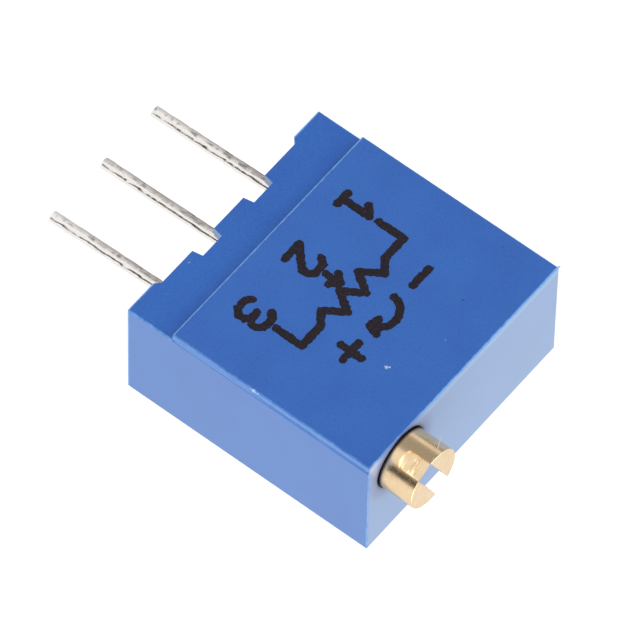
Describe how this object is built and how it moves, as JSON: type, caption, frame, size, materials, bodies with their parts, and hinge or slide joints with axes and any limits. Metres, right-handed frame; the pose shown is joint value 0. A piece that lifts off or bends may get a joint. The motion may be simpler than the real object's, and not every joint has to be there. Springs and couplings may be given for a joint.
{
  "type": "trimmer potentiometer",
  "caption": "Square through-hole multi-turn trimmer potentiometer with a slotted brass screw on top, a worm-driven wiper inside and a row of round pins below.",
  "frame": {"origin": "axis of the middle pin on the plane of the feet, where the board's face lies", "axes": "+Z from the board to the screw end, -Y out of the printed face, +X towards the screw's side along the row of pins"},
  "size_m": [0.0096, 0.0048, 0.0156],
  "materials": {
    "housing_plastic": "satin moulded",
    "marking_ink": "printed ink",
    "resin": "cast resin",
    "dam_plastic": "thin sheet",
    "ceramic": "unglazed",
    "resistive_film": "fired film",
    "conductor_film": "fired silver film",
    "tinned_wire": "bright tin plate",
    "solder": "bright solder",
    "brass": "turned",
    "seal_rubber": "smooth",
    "clip_steel": "stamped",
    "wheel_plastic": "moulded",
    "spring_alloy": "bright strip"
  },
  "bodies": {
    "body": {"housing": "housing_plastic", "potting_seal": "resin", "resin_dam": "dam_plastic", "ceramic_substrate": "ceramic", "resistive_track": "resistive_film", "collector_track": "conductor_film", "end_conductor_1": "conductor_film", "middle_conductor": "conductor_film", "end_conductor_3": "conductor_film", "pin_1": "tinned_wire", "pin_2": "tinned_wire", "pin_3": "tinned_wire", "solder_joint_1": "solder", "solder_joint_2": "solder", "solder_joint_3": "solder", "screw_retainer": "clip_steel"},
    "screw": {"adjustment_screw": "brass", "screw_seal": "seal_rubber"},
    "wiper": {"worm_wheel": "wheel_plastic", "contact_spring": "spring_alloy"}
  },
  "joints": [
    {"name": "screw_turn", "type": "hinge", "parent": "body", "child": "screw", "pos_m": [0.00318, -0.00095, 0], "axis": [0, 0, 1], "range_deg": [-4410, 4590]},
    {"name": "wiper_turn", "type": "hinge", "parent": "body", "child": "wiper", "pos_m": [-0.00044, -0.00095, 0.0052], "axis": [0, 1, 0], "range_deg": [-147, 153]}
  ],
  "couplings": [
    {"joint": "wiper_turn", "follows": "screw_turn", "ratio": 0.033333}
  ]
}
